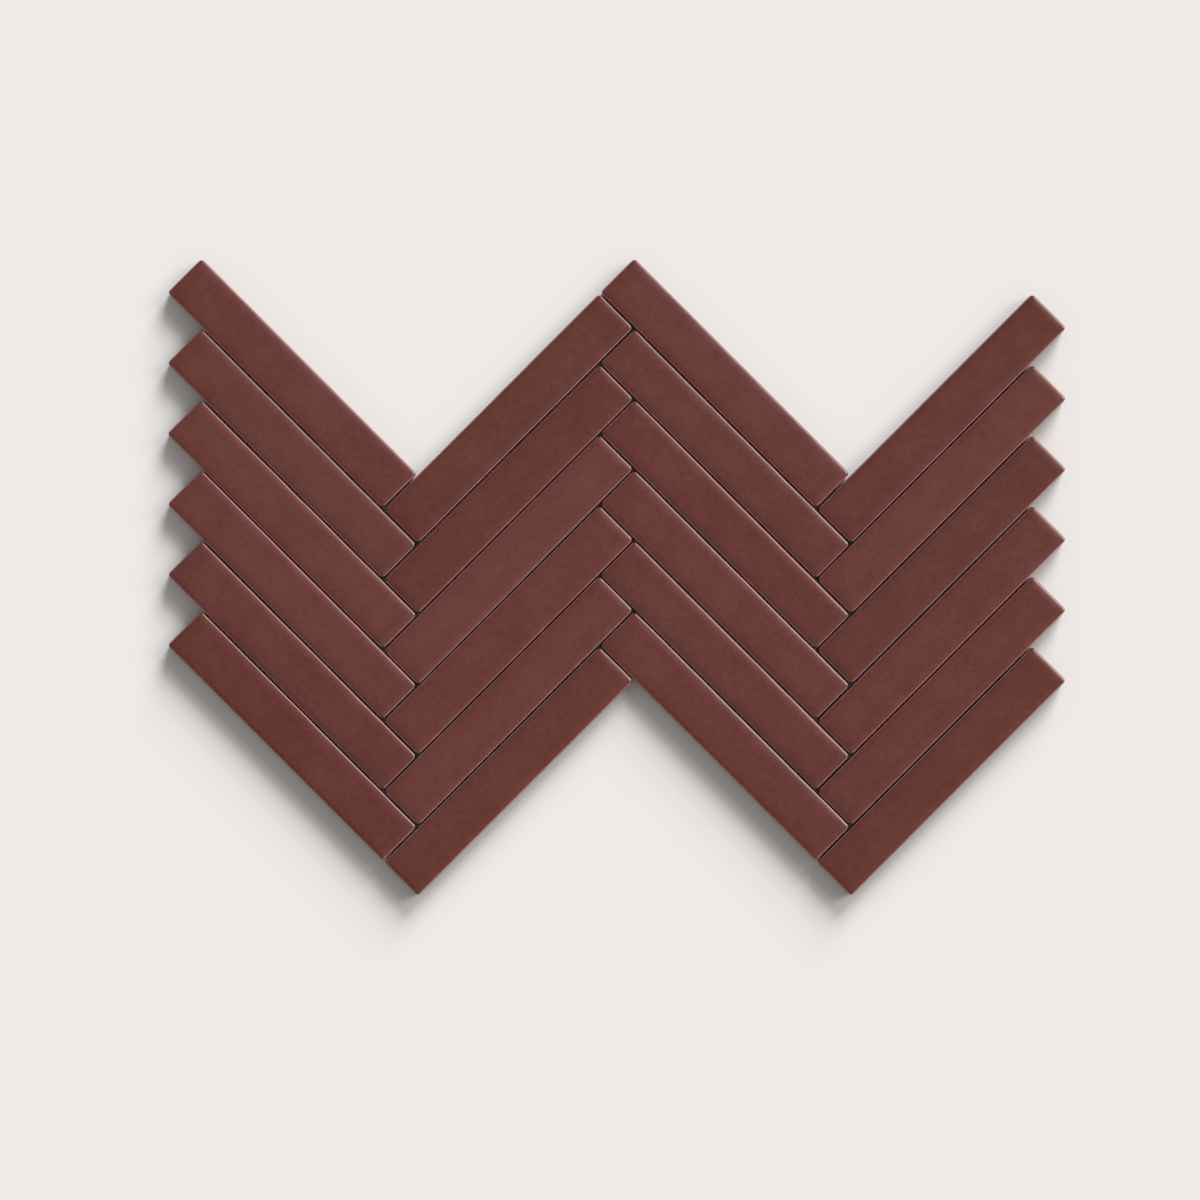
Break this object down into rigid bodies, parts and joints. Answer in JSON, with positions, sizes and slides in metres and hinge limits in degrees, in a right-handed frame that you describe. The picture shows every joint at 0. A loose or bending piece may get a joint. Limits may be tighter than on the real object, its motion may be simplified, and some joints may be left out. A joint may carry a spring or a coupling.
{
  "type": "herringbone mosaic tile sheet",
  "caption": "Mosaic sheet of dark red glazed ceramic finger tiles laid in a zigzag herringbone, held close-jointed by a net on their backs, for cladding walls and floors.",
  "frame": {"origin": "centre of the sheet's outline, on the plane of the net's underside that is bedded on the wall or floor", "axes": "+X across the columns, to the right as seen from the face; +Y up the columns; +Z out of the glazed face"},
  "size_m": [0.4266, 0.3022, 0.0085],
  "materials": {
    "oxblood_glaze": "satin",
    "glass_fibre_net": "matte"
  },
  "bodies": {
    "root": {"tile_col1_row1": "oxblood_glaze", "tile_col1_row2": "oxblood_glaze", "tile_col1_row3": "oxblood_glaze", "tile_col1_row4": "oxblood_glaze", "tile_col1_row5": "oxblood_glaze", "tile_col1_row6": "oxblood_glaze", "tile_col2_row1": "oxblood_glaze", "tile_col2_row2": "oxblood_glaze", "tile_col2_row3": "oxblood_glaze", "tile_col2_row4": "oxblood_glaze", "tile_col2_row5": "oxblood_glaze", "tile_col2_row6": "oxblood_glaze", "tile_col3_row1": "oxblood_glaze", "tile_col3_row2": "oxblood_glaze", "tile_col3_row3": "oxblood_glaze", "tile_col3_row4": "oxblood_glaze", "tile_col3_row5": "oxblood_glaze", "tile_col3_row6": "oxblood_glaze", "tile_col4_row1": "oxblood_glaze", "tile_col4_row2": "oxblood_glaze", "tile_col4_row3": "oxblood_glaze", "tile_col4_row4": "oxblood_glaze", "tile_col4_row5": "oxblood_glaze", "tile_col4_row6": "oxblood_glaze", "net_upper_yarns": "glass_fibre_net", "net_lower_yarns": "glass_fibre_net"}
  },
  "joints": []
}
